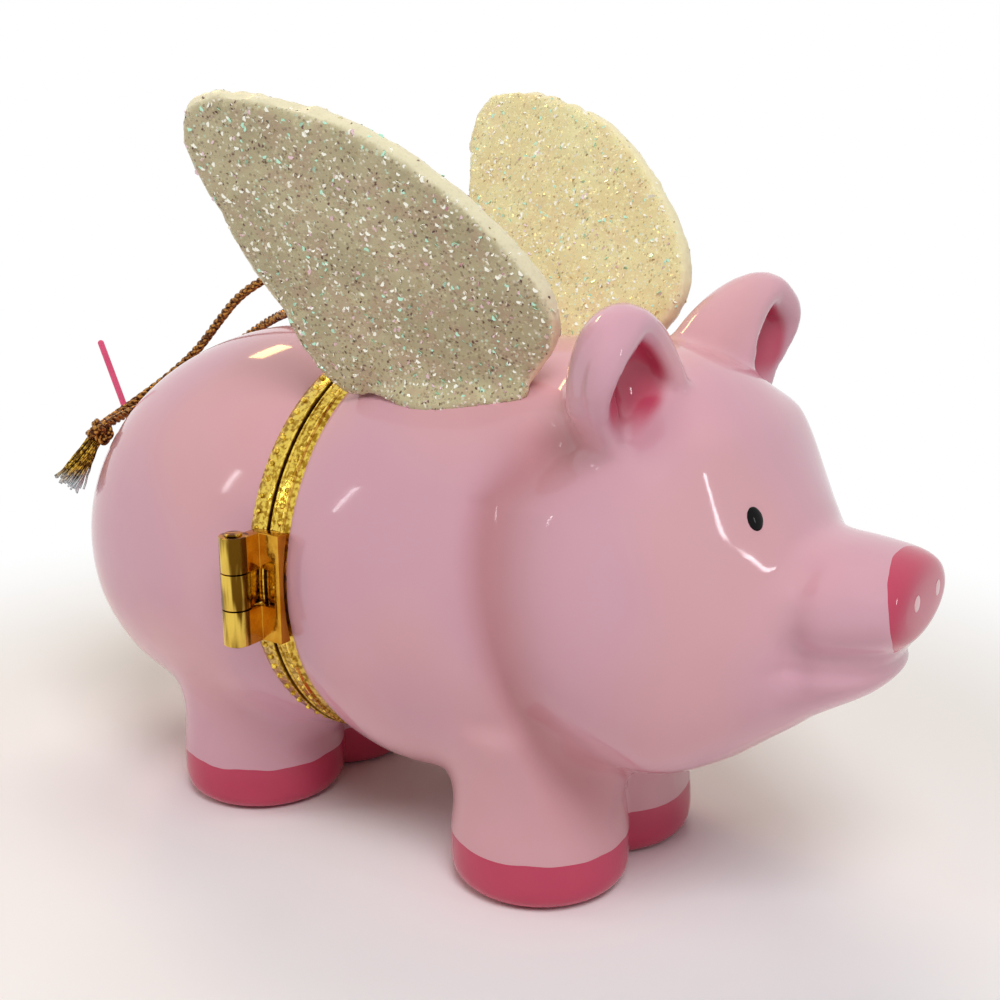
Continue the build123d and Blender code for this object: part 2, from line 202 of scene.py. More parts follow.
# Rims: how far along and how far below the rim's radius each step of the profile lies, in millimetres
front_rim_steps = [
    (0.00, 0.20), (0.07, 0.12), (0.24, 0.12), (0.32, 0.25), (1.26, 0.25), (1.38, 0.03), (1.48, 0.00),
    (1.62, 0.03), (1.74, 0.30),
]
rear_rim_steps = [
    (0.00, 0.10), (0.07, 0.01), (0.16, 0.00), (0.26, 0.02), (0.36, 0.25), (1.84, 0.25), (1.96, 0.32),
]
rim_lip = 0.42 * mm
rim_margin = 0.06 * mm
knuckle_margin = 0.03 * mm
channel_low = 0.24 * mm
channel_high = 0.12 * mm
seam_dark = 0.12 * mm
seam_end = 0.24 * mm
bead_count = 84
bead_radii = (0.27 * mm, 0.40 * mm)

# Wings
wing_voxel = 0.35 * mm
wing_root_top = 51.6 * mm
glue_low = 49.6 * mm
glue_high = 50.8 * mm
ragged_from = 12 * mm
ragged_to = 20 * mm
# Lumps of a wing's skin, as the size and height of each kind, and how deep the skin is sunk for
# them, in millimetres
soft_lumps = ((3.2, 0.14), (1.1, 0.10))
scallop_size = 1.9
scallop_height = 0.55
scallop_sink = 0.12
lump_sink = 0.13
chip_thickness = 0.05 * mm
chip_sink = 0.02 * mm
chip_tilt = 0.6
small_chip_share = 0.42
small_chip_radii = (0.11, 0.20)
large_chip_radii = (0.15, 0.30)
# The glittered glue along a wing's root, where it stands on the back: x, distance from the pig's
# middle, height and radius, in millimetres
wing_root = [
    (1.4, 12.2, 48.5, 0.7), (4.8, 12.4, 47.6, 1.1), (8.5, 12.3, 47.6, 1.2), (12.5, 11.7, 48.2, 1.2),
    (15.5, 11.3, 48.9, 1.1), (17.6, 11.3, 49.6, 0.9),
]

# Routes of the cord's two strands, the same points as the model's, in millimetres
far_strand_route = [
    (-7.6, 0.0, 52.6), (-7.6, 2.8, 52.6), (-9.5, 5.3, 54.2), (-13.9, 6.4, 56.0),
    (-19.7, 6.0, 56.9), (-25.7, 4.8, 56.0), (-31.1, 4.1, 53.3), (-35.3, 4.4, 49.6),
    (-39.1, 4.5, 45.8), (-42.5, 2.8, 42.5), (-44.1, -0.6, 40.2), (-43.5, -4.6, 39.1),
    (-42.1, -7.8, 38.8), (-40.6, -9.9, 38.8),
]
near_strand_route = [
    (-7.6, 0.0, 52.6), (-7.6, -2.8, 52.6), (-10.1, -4.5, 52.9), (-14.5, -3.1, 53.0),
    (-18.7, -0.6, 52.7), (-22.9, 2.2, 51.8), (-27.3, 4.0, 50.2), (-31.7, 4.8, 47.9),
    (-35.9, 4.7, 45.2), (-39.5, 3.2, 42.3), (-41.5, 0.0, 40.3), (-41.6, -4.0, 39.6),
    (-40.5, -7.4, 39.5), (-39.7, -9.9, 39.1),
]
ply_radius = 0.285 * mm
ply_offset = 0.265 * mm
ply_pitch = 3.0 * mm
knot_place = Vector((-40.1, -10.3, 38.5)) * mm
knot_size = 0.37
tassel_end = Vector((-43.0, -13.0, 32.4)) * mm
tassel_count = 64
tassel_radius = 0.13 * mm
tassel_neck = 0.75 * mm
tassel_spread = 0.95 * mm
tassel_sway = 0.10 * mm

# The camera of the photograph, and how far from the middle the floor turns white
camera_place = Vector((88.8, -119.4, 75)) * mm
camera_lens = 53.42
camera_drop = 15.265
camera_turn = 34.3
floor_fade = (62 * mm, 120 * mm)


# Mesh helpers

def new_object(name, bm, materials, smooth=True, sharp=180):
    """A finished object from a bmesh, at the origin, smooth up to the sharp angle."""
    bmesh.ops.remove_doubles(bm, verts=bm.verts, dist=1e-7)
    mesh = bpy.data.meshes.new(name)
    bm.to_mesh(mesh)
    bm.free()
    for material in materials:
        mesh.materials.append(material)
    if smooth:
        mesh.shade_smooth()
        mesh.set_sharp_from_angle(angle=radians(sharp))
    obj = bpy.data.objects.new(name, mesh)
    bpy.context.scene.collection.objects.link(obj)
    return obj


def applied(obj):
    """Replace an object's mesh by what its modifiers make."""
    bpy.context.view_layer.update()
    depsgraph = bpy.context.evaluated_depsgraph_get()
    mesh = bpy.data.meshes.new_from_object(obj.evaluated_get(depsgraph))
    obj.modifiers.clear()
    old = obj.data
    obj.data = mesh
    bpy.data.meshes.remove(old)
    return obj


def remeshed(bm, size):
    """One skin round all the overlapping closed shells of a bmesh."""
    bmesh.ops.recalc_face_normals(bm, faces=bm.faces)
    obj = new_object("skin", bm, [], smooth=False)
    remesh = obj.modifiers.new("skin", "REMESH")
    remesh.mode = "VOXEL"
    remesh.voxel_size = size
    applied(obj)
    result = bmesh.new()
    result.from_mesh(obj.data)
    mesh = obj.data
    bpy.data.objects.remove(obj)
    bpy.data.meshes.remove(mesh)
    return result


def node_copy(node):
    """A CAD node's mesh as a bmesh, with its doubles merged."""
    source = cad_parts[node]
    bm = bmesh.new()
    bm.from_mesh(source.data)
    bm.transform(source.matrix_world)
    bmesh.ops.remove_doubles(bm, verts=bm.verts, dist=1e-6)
    return bm


def softened(name, node, width, material):
    """A copy of a CAD node with its sharp edges rounded."""
    bm = node_copy(node)
    bmesh.ops.dissolve_limit(bm, angle_limit=radians(2), verts=bm.verts, edges=bm.edges)
    sharp = [edge for edge in bm.edges
             if len(edge.link_faces) == 2 and edge.calc_face_angle() > radians(38)]
    bmesh.ops.bevel(bm, geom=sharp, offset=width, offset_type="OFFSET", affect="EDGES", segments=3,
                    profile=0.5, material=-1, clamp_overlap=True)
    return new_object(name, bm, [material], sharp=36)


def smooth_through(points, steps, closed=False):
    """Points on a smooth curve through the given ones, with steps from each to the next."""
    count = len(points)
    result = []
    for index in range(count if closed else count - 1):
        if closed:
            four = [points[(index + k) % count] for k in (-1, 0, 1, 2)]
        else:
            four = [points[min(max(index + k, 0), count - 1)] for k in (-1, 0, 1, 2)]
        for step in range(steps):
            t = step / steps
            result.append(tuple(
                0.5 * (2 * b + (c - a) * t + (2 * a - 5 * b + 4 * c - d) * t * t
                       + (3 * b - a - 3 * c + d) * t ** 3) for a, b, c, d in zip(*four)))
    if not closed:
        result.append(tuple(points[-1]))
    return result


def take_in(whole, part):
    """Move what one bmesh holds into another."""
    mesh = bpy.data.meshes.new("part")
    part.to_mesh(mesh)
    part.free()
    whole.from_mesh(mesh)
    bpy.data.meshes.remove(mesh)


def joined(makers):
    """One bmesh of parts that are each made alone, because operators slow as a bmesh grows."""
    whole = bmesh.new()
    for make in makers:
        part = bmesh.new()
        make(part)
        take_in(whole, part)
    return whole


def in_batches(count, make_one, size=32):
    """Many small shapes in one bmesh."""
    def batch_from(start):
        def make(part):
            for index in range(start, min(start + size, count)):
                make_one(part, index)
        return make

    return joined([batch_from(start) for start in range(0, count, size)])


def spline_through(rows, steps):
    """Rows on a cubic spline through the given rows, with steps from each to the next."""
    spans = [sqrt(sum((b - a) ** 2 for a, b in zip(*pair))) for pair in zip(rows, rows[1:])]
    columns = []
    for values in zip(*rows):
        slopes = [(b - a) / span for a, b, span in zip(values, values[1:], spans)]
        bends = [0.0] * len(values)
        for _ in range(60):
            for k in range(1, len(values) - 1):
                pull = 6 * (slopes[k] - slopes[k - 1])
                pull -= spans[k - 1] * bends[k - 1] + spans[k] * bends[k + 1]
                bends[k] = pull / (2 * (spans[k - 1] + spans[k]))
        column = []
        for k, span in enumerate(spans):
            for step in range(steps):
                b = step / steps
                a = 1 - b
                column.append(a * values[k] + b * values[k + 1] + span ** 2 / 6
                              * ((a ** 3 - a) * bends[k] + (b ** 3 - b) * bends[k + 1]))
        columns.append(column + [values[-1]])
    return list(zip(*columns))


def ease(value, low, high):
    """0 below low, 1 above high, and smooth between."""
    t = min(max((value - low) / (high - low), 0), 1)
    return t * t * (3 - 2 * t)


def hump(distance, width):
    return exp(-(distance / width) ** 2)


def ring(bm, row, segments=128):
    """A closed egg-shaped section, from x, top, bottom, middle and half width."""
    x, top, bottom, middle, half_width = row
    circle = bmesh.ops.create_circle(bm, segments=segments, radius=1)
    for vert in circle["verts"]:
        y, z = vert.co.x, vert.co.y
        upper = ease(z, -0.6, 0.6)
        reach = upper * (top - middle) + (1 - upper) * (middle - bottom)
        vert.co = (x, y * half_width, middle + z * reach)
    return list({edge for vert in circle["verts"] for edge in vert.link_edges})


def loft(bm, rows, cap_start=True, cap_end=True):
    """A skin through sections, closed at the ends that are capped."""
    rings = [ring(bm, row) for row in rows]
    for first, second in zip(rings, rings[1:]):
        bmesh.ops.bridge_loops(bm, edges=first + second)
    if cap_start:
        bmesh.ops.contextual_create(bm, geom=rings[0])
    if cap_end:
        bmesh.ops.contextual_create(bm, geom=rings[-1])
    return rings


def move_along_normals(bm, distance_at):
    """Move every vertex along its normal by what distance_at gives for its place and normal."""
    bm.normal_update()
    moves = [vert.normal * distance_at(vert.co, vert.normal) for vert in bm.verts]
    for vert, move in zip(bm.verts, moves):
        vert.co += move


def smooth_where(bm, weight_at, rounds):
    """Smooth vertices, each in as many of the rounds as its weight asks."""
    weights = [(vert, weight_at(vert.co)) for vert in bm.verts]
    for index in range(rounds):
        chosen = [vert for vert, weight in weights if weight * rounds > index]
        bmesh.ops.smooth_vert(bm, verts=chosen, factor=0.5, use_axis_x=True, use_axis_y=True,
                              use_axis_z=True)


# Porcelain

def body_row(half, row, wall=0):
    """A row of shares as x, top, bottom, middle and half width, drawn in by a wall."""
    along, top, bottom, middle, width = row
    length = front_length if half > 0 else rear_length
    return (seam_x + half * along * (length - wall), axis_height + top * back_rise - wall,
            axis_height - bottom * belly_drop + wall, axis_height + middle * back_rise,
            width * body_half_width - wall)


def round_row(x, radius):
    return (x, axis_height + radius, axis_height - radius, axis_height, radius)


def leg(bm, half, side):
    """A leg turned from its profile, with a round-edged hoof and a flare at its top."""
    corner = hoof_radius - hoof_round
    turns = [pi / 2 * step / 6 for step in range(7)]
    profile = [(0, 0)]
    profile += [(corner + hoof_round * sin(t), hoof_round * (1 - cos(t))) for t in turns]
    profile += [(hoof_radius, hoof_height), (leg_radius, hoof_height + hoof_shoulder)]
    profile += [(leg_radius + leg_flare * t ** 2, hoof_height + leg_flare_low + t * leg_flare_height)
                for t in (0, 0.25, 0.5, 0.75, 1)]
    profile += [(0, leg_top)]
    place = Vector((seam_x + (front_leg_reach if half > 0 else -rear_leg_reach), side * leg_offset, 0))
    verts = [bm.verts.new(place + Vector((radius, 0, z))) for radius, z in profile]
    edges = [bm.edges.new(pair) for pair in zip(verts, verts[1:])]
    bmesh.ops.spin(bm, geom=verts + edges, cent=place, axis=(0, 0, 1), angle=tau, steps=72,
                   use_merge=True)


def cup_share(place, side):
    """How deep an ear's cup is at a place seen from the front: 0 at its rim, 1 in its middle."""
    reach = hypot(side * place.y - cup_offset, place.z - cup_height) / cup_radius
    return max(0, 1 - reach ** 2) ** 0.6


def ear(bm, side):
    """An egg-shaped ear with a cup in front."""
    place = Vector((seam_x + ear_reach, side * ear_offset, axis_height + ear_rise))
    turn = Matrix.Rotation(radians(-side * ear_lean), 4, "X") @ Matrix.Rotation(radians(ear_nod), 4, "Y")
    matrix = Matrix.Translation(place) @ turn @ Matrix.Diagonal((*ear_half, 1))
    made = bmesh.ops.create_uvsphere(bm, u_segments=96, v_segments=64, radius=1, matrix=matrix)
    back = matrix.inverted()
    for vert in made["verts"]:
        front = ease((back @ vert.co).x, 0, 0.3)
        vert.co.x -= cup_depth * front * cup_share(vert.co, side)


def roll_balls(bm, side, rows):
    """A stretch of an ear's roll or root or of a wing's glue, as close balls that the remesh makes one."""
    for x, offset, height, radius in rows:
        spot = Matrix.Translation(Vector((x, side * offset, height)) * mm)
        bmesh.ops.create_uvsphere(bm, u_segments=20, v_segments=12, radius=radius * mm, matrix=spot)


def neck_valley(place):
    """The groove between head and torso at a place: its share of the full depth, its share of the
    full strength there, and the distance ahead of it."""
    drop = max(neck_curve_top - place.z, 0)
    rise = max(place.z - neck_lean_start, 0)
    beyond = place.x - (seam_x + neck_reach + neck_curve * drop ** 2 + neck_lean * rise)
    side = 0.3 + 0.7 * ease(abs(place.y), 4 * mm, 12 * mm)
    side *= 1 - ease(place.z, neck_end_low, neck_end_high)
    width = groove_behind + neck_widening * rise if beyond < 0 else groove_ahead
    return side * hump(beyond, width), side, beyond


def neck_crease(place):
    """How far the skin moves in or out where the head joins the torso."""
    valley, side, beyond = neck_valley(place)
    return cheek_swell * side * hump(beyond - cheek_ahead, cheek_width) - groove_depth * valley


def mouth_line(place):
    """The soft line between the snout and the lower lip."""
    line_z = axis_height - mouth_drop - mouth_slope * (nose_x - place.x)
    fade = ease(place.x, nose_x - mouth_back, nose_x - mouth_full)
    return -mouth_depth * fade * hump(place.z - line_z, mouth_width)


def snout_root(place):
    """The shallow crease round the snout where it leaves the cheeks."""
    side = ease(abs(place.y), 4 * mm, 7 * mm)
    side *= ease(place.z, snout_root_low - 2 * mm, snout_root_low + 2 * mm)
    side *= 1 - ease(place.z, snout_root_high - 1 * mm, snout_root_high + 1 * mm)
    return -snout_root_depth * side * hump(place.x - snout_root_x, snout_root_width)


def in_millimetres(row):
    return tuple(value * mm for value in row)


def outer_skin(half):
    """The closed outside of one half, in one skin."""
    shoulder_x = seam_x + half * (rim_face + rim_width)
    table = [round_row(shoulder_x, shoulder_radius)]
    table += [body_row(half, row) for row in (front_rows if half > 0 else rear_rows)]
    neck = [round_row(seam_x, mouth_radius), round_row(shoulder_x - half * 0.3 * mm, mouth_radius)]
    makers = [lambda bm: loft(bm, neck + spline_through(table, 8))]
    makers += [lambda bm, side=side: leg(bm, half, side) for side in (-1, 1)]
    if half > 0:
        makers += [lambda bm, rows=rows: loft(bm, spline_through(list(map(in_millimetres, rows)), 4))
                   for rows in (snout_rows, chin_rows)]
        makers += [lambda bm, side=side: ear(bm, side) for side in (-1, 1)]
        balls = smooth_through(ear_roll, 6) + smooth_through(ear_root, 3)
        makers += [lambda bm, side=side, start=start: roll_balls(bm, side, balls[start:start + 12])
                   for side in (-1, 1) for start in range(0, len(balls), 12)]
    return remeshed(joined(makers), voxel)


def soften_joins(bm, half):
    """Blend the legs, ears and snout into the body as the glaze does."""
    def weight(place):
        shoulder = ease(abs(place.x - seam_x), 3.5 * mm, 6 * mm)
        all_over = 0.10 * shoulder
        leg_join = ease(place.z, hoof_height + 1 * mm, hoof_height + 4 * mm)
        leg_join *= 1 - ease(place.z, belly_line, belly_line + 5 * mm)
        if half < 0:
            return max(all_over, leg_join * shoulder)
        along = place.x - seam_x
        ear_back = hump(place.z - ear_foot, 4 * mm) * ease(along, 23 * mm, 26 * mm)
        ear_back *= 1 - ease(along, 32.5 * mm, 34.5 * mm)
        roll_end = 0.5 * hump(place.z - roll_end_height, 2.6 * mm) * ease(abs(place.y), 10 * mm, 12 * mm)
        roll_end *= hump(along - roll_end_reach, 5 * mm)
        in_cup = 0.4 * ease(max(cup_share(place, -1), cup_share(place, 1)), 0.15, 0.5)
        in_cup *= ease(along, 29 * mm, 31 * mm)
        snout_join = 0.3 * hump(along - snout_join_reach, 2.6 * mm)
        return max(all_over, leg_join * shoulder, ear_back, roll_end, in_cup, snout_join)

    smooth_where(bm, weight, soft_rounds)


def open_mouth(bm, half):
    """Cut the skin open at the mouth."""
    mouth_x = seam_x + half * porcelain_face
    bmesh.ops.bisect_plane(bm, geom=bm.verts[:] + bm.edges[:] + bm.faces[:], plane_co=(mouth_x, 0, 0),
                           plane_no=(-half, 0, 0), clear_outer=True)


def room_wall(bm, half):
    """The wall of the room inside, facing into it."""
    inner_radius = mouth_radius - porcelain_wall
    rows = front_rows[:cavity_front_rows] if half > 0 else rear_rows[:cavity_rear_rows]
    table = [round_row(seam_x + half * (rim_face + rim_width), inner_radius)]
    table += [body_row(half, row, porcelain_wall) for row in rows]
    x, top, bottom, middle, half_width = table[-1]
    tip_x = seam_x + (cavity_tip_share * front_length if half > 0 else porcelain_wall - rear_length)
    for reach, size in ((0.45, 0.78), (0.8, 0.45), (1, 0.02)):
        table.append((x + reach * (tip_x - x), middle + size * (top - middle),
                      middle - size * (middle - bottom), middle, size * half_width))
    start = [round_row(seam_x + half * porcelain_face, inner_radius)]
    loft(bm, start + smooth_through(table, 5), cap_start=False)
    bmesh.ops.recalc_face_normals(bm, faces=bm.faces)
    mouth_middle = Vector((seam_x + half * porcelain_face, 0, axis_height))
    if sum((face.calc_center_median() - mouth_middle).dot(face.normal) for face in bm.faces) > 0:
        bmesh.ops.reverse_faces(bm, faces=bm.faces)
    for face in bm.faces:
        face.material_index = 1


def mark_blush_and_shade(bm):
    """Note on each vertex how deep in an ear's cup it lies, for the deep pink there, and how deep
    in the groove of the neck it lies, for the painted shade there."""
    neck_shade = bm.verts.layers.float.new("neck_shade")
    blush = bm.verts.layers.float.new("ear_blush")
    bm.normal_update()
    for vert in bm.verts:
        x, y, z = vert.co
        # Painted shade: the groove of the neck is marked darker the deeper it is
        vert[neck_shade] = neck_valley(vert.co)[0]
        if x > blush_back and z > blush_height - blush_radius:
            inside = 1 - hypot((abs(y) - blush_offset) / blush_radius, (z - blush_height) / blush_radius)
            depth = ease(blush_face - x, 0.2 * mm, 1.8 * mm) * ease(vert.normal.x, -0.45, -0.15)
            low = 0.25 + 0.75 * ease(z, blush_low, blush_full)
            vert[blush] = ease(inside, 0, 0.35) * depth * low


def porcelain(half, name, materials):
    """One hollow half."""
    bm = outer_skin(half)
    soften_joins(bm, half)
    if half > 0:
        creases = (neck_crease, mouth_line, snout_root)
        move_along_normals(bm, lambda place, normal: sum(crease(place) for crease in creases))
    open_mouth(bm, half)
    take_in(bm, joined([lambda part: room_wall(part, half)]))
    bmesh.ops.bridge_loops(bm, edges=[edge for edge in bm.edges if edge.is_boundary])
    if half > 0:
        mark_blush_and_shade(bm)
    return new_object(name, bm, materials)


def lens(name, tree, place, half_sizes, material):
    """A thin dome of thick paint on the skin nearest a place: height, half width, half height."""
    spot, normal, _, _ = tree.find_nearest(place)
    up = (Vector((0, 0, 1)) - normal * normal.z).normalized()
    across = up.cross(normal)
    turn = Matrix((normal, across, up)).transposed().to_4x4()
    matrix = Matrix.Translation(spot) @ turn @ Matrix.Diagonal((*half_sizes, 1))
    bm = bmesh.new()
    bmesh.ops.create_uvsphere(bm, u_segments=48, v_segments=32, radius=1, matrix=matrix)
    return new_object(name, bm, [material])


# Materials

class Wiring:
    """Short words for the nodes of one tree."""

    def __init__(self, tree):
        self.tree = tree

    def node(self, kind, inputs=(), **settings):
        """A new node, with its settings, and its inputs by name or number."""
        node = self.tree.nodes.new("ShaderNode" + kind)
        for name, value in settings.items():
            setattr(node, name, value)
        for name, value in dict(inputs).items():
            self.set(node.inputs[name], value)
        return node

    def set(self, socket, value):
        if isinstance(value, bpy.types.NodeSocket):
            self.tree.links.new(value, socket)
        else:
            socket.default_value = value

    def math(self, operation, first, second=0.0, clamp=False):
        node = self.node("Math", {0: first, 1: second}, operation=operation, use_clamp=clamp)
        return node.outputs[0]

    def range(self, value, low, high, out_low=0.0, out_high=1.0, smooth=True):
        node = self.node("MapRange", {"Value": value, "From Min": low, "From Max": high,
                                      "To Min": out_low, "To Max": out_high},
                         interpolation_type="SMOOTHSTEP" if smooth else "LINEAR")
        return node.outputs["Result"]

    def mix(self, share, first, second, blend="MIX"):
        node = self.node("Mix", {0: share, 6: first, 7: second}, data_type="RGBA", blend_type=blend)
        return node.outputs[2]

    def place(self):
        return self.node("TexCoord").outputs["Object"]

    def noise(self, place, scale, detail=3.0, roughness=0.5):
        return self.node("TexNoise", {"Vector": place, "Scale": scale, "Detail": detail,
                                      "Roughness": roughness}).outputs["Fac"]


def colour(red, green, blue):
    """A colour given as it shows on screen, from 0 to 255."""
    shares = [value / 255 for value in (red, green, blue)]
    return tuple(s / 12.92 if s <= 0.04045 else ((s + 0.055) / 1.055) ** 2.4 for s in shares) + (1,)


def new_group(name, inputs, outputs):
    """An empty node group with named sockets, and its wiring."""
    tree = bpy.data.node_groups.new(name, "ShaderNodeTree")
    for socket, kind, value in inputs:
        made = tree.interface.new_socket(socket, in_out="INPUT", socket_type="NodeSocket" + kind)
        if value is not None:
            made.default_value = value
    for socket, kind in outputs:
        tree.interface.new_socket(socket, in_out="OUTPUT", socket_type="NodeSocket" + kind)
    wiring = Wiring(tree)
    start = tree.nodes.new("NodeGroupInput")
    end = tree.nodes.new("NodeGroupOutput")
    return tree, wiring, start.outputs, end.inputs


def kiln_mottle_group():
    """Faint clouds of tone in a glaze or paint: a value about 1, and a height."""
    tree, w, given, out = new_group("kiln_mottle", [("Scale", "Float", 120.0), ("Depth", "Float", 0.06)],
                                    [("Tone", "Float"), ("Height", "Float")])
    clouds = w.noise(w.place(), given["Scale"], 2.0)
    change = w.math("MULTIPLY", w.math("SUBTRACT", clouds, 0.5), given["Depth"])
    w.set(out["Tone"], w.math("ADD", change, 1.0))
    w.set(out["Height"], w.noise(w.place(), w.math("MULTIPLY", given["Scale"], 2.5), 2.0))
    return tree


def flakes_group():
    """Glitter flakes: a mask, a random value for each flake, and a tilted normal."""
    tree, w, given, out = new_group(
        "flakes", [("Scale", "Float", 2400.0), ("Share", "Float", 0.5), ("Tilt", "Float", 0.6)],
        [("Mask", "Float"), ("Chance", "Float"), ("Tint", "Float"), ("Normal", "Vector")])
    cells = w.node("TexVoronoi", {"Vector": w.place(), "Scale": given["Scale"]}, feature="F1")
    parts = w.node("SeparateColor", {"Color": cells.outputs["Color"]})
    chosen = w.math("LESS_THAN", parts.outputs["Red"], given["Share"])
    inside = w.math("LESS_THAN", cells.outputs["Distance"], 0.46)
    w.set(out["Mask"], w.math("MULTIPLY", chosen, inside))
    w.set(out["Chance"], parts.outputs["Green"])
    w.set(out["Tint"], parts.outputs["Blue"])
    middle = w.node("VectorMath", {0: cells.outputs["Color"], 1: (0.5, 0.5, 0.5)}, operation="SUBTRACT")
    tilt = w.node("VectorMath", {0: middle.outputs[0]}, operation="SCALE")
    w.set(tilt.inputs["Scale"], given["Tilt"])
    normal = w.node("NewGeometry").outputs["Normal"]
    total = w.node("VectorMath", {0: normal, 1: tilt.outputs[0]}, operation="ADD")
    w.set(out["Normal"], w.node("VectorMath", {0: total.outputs[0]}, operation="NORMALIZE").outputs[0])
    return tree


groups = {"kiln_mottle": kiln_mottle_group(), "flakes": flakes_group()}


def new_material(name):
    """An empty material: its wiring and its surface shader."""
    material = bpy.data.materials.new(name)
    material.use_nodes = True
    tree = material.node_tree
    return material, Wiring(tree), tree.nodes["Principled BSDF"]


def placed_group(w, name, **values):
    node = w.tree.nodes.new("ShaderNodeGroup")
    node.node_tree = groups[name]
    for socket, value in values.items():
        w.set(node.inputs[socket.replace("_", " ")], value)
    return node.outputs


def dress(w, shader, **values):
    """Set a shader's inputs, with low lines for the spaces in their names."""
    for name, value in values.items():
        w.set(shader.inputs[name.replace("_", " ")], value)


def glaze(w, shader, tone, roughness=0.08, level=0.5):
    """The settings that every glazed surface shares."""
    dress(w, shader, Base_Color=tone, Roughness=roughness, IOR=1.45, Specular_IOR_Level=level)


def pink_glaze():
    """Pink glaze, with deep pink painted hooves, snout end and ear cups, and painted shade in the groove of
    the neck.
    """
    material, w, shader = new_material("pink_glaze")
    mottle = placed_group(w, "kiln_mottle", Scale=90.0, Depth=0.10)
    place = w.place()
    warmth = w.range(w.noise(place, 45.0, 1.0), 0.4, 0.6)
    pink = w.mix(warmth, colour(214, 161, 178), colour(220, 163, 169))
    pink = w.mix(w.range(mottle["Tone"], 0.95, 1.05, 0.0, 0.5), pink, colour(224, 176, 186))
    deep = w.mix(w.range(mottle["Tone"], 0.95, 1.05), colour(190, 56, 88), colour(204, 74, 102))
    parts = w.node("SeparateXYZ", {"Vector": place})
    x, z = parts.outputs["X"], parts.outputs["Z"]
    waver = w.math("MULTIPLY", w.math("SUBTRACT", w.noise(place, 260.0, 1.0), 0.5), 0.7 * mm)
    hoof = w.math("LESS_THAN", w.math("ADD", z, waver), hoof_height)
    off = w.math("SUBTRACT", z, cap_height)
    curl = w.math("MULTIPLY", w.math("MULTIPLY", off, off), cap_curl)
    cap = w.math("GREATER_THAN", w.math("ADD", w.math("ADD", x, curl), waver), nose_x - cap_depth)
    cap = w.math("MULTIPLY", cap, w.math("GREATER_THAN", z, cap_low))
    cap = w.math("MULTIPLY", cap, w.math("GREATER_THAN", x, nose_x - cap_back))
    paint = w.math("MAXIMUM", hoof, cap)
    blush = w.node("Attribute", attribute_name="ear_blush").outputs["Fac"]
    blush = w.range(blush, 0.05, 1.0, 0.0, 0.92)
    neck_shade = w.node("Attribute", attribute_name="neck_shade").outputs["Fac"]
    # Painted shade: the groove of the neck is darkened towards a dull brownish pink
    pink = w.mix(w.math("MULTIPLY", neck_shade, 0.75), pink, colour(188, 122, 126))
    tone = w.mix(blush, pink, colour(192, 58, 90))
    bump = w.node("Bump", {"Height": mottle["Height"], "Strength": 0.04, "Distance": 0.3 * mm})
    dress(w, shader, Normal=bump.outputs["Normal"])
    glaze(w, shader, w.mix(paint, tone, deep))
    return material


def plain_paint(name, tone, shade, roughness, level=0.5, scale=400.0):
    """A glossy paint or glaze with faint clouds between two tones."""
    material, w, shader = new_material(name)
    mottle = placed_group(w, "kiln_mottle", Scale=scale, Depth=0.10)
    glaze(w, shader, w.mix(w.range(mottle["Tone"], 0.95, 1.05), shade, tone), roughness, level)
    return material


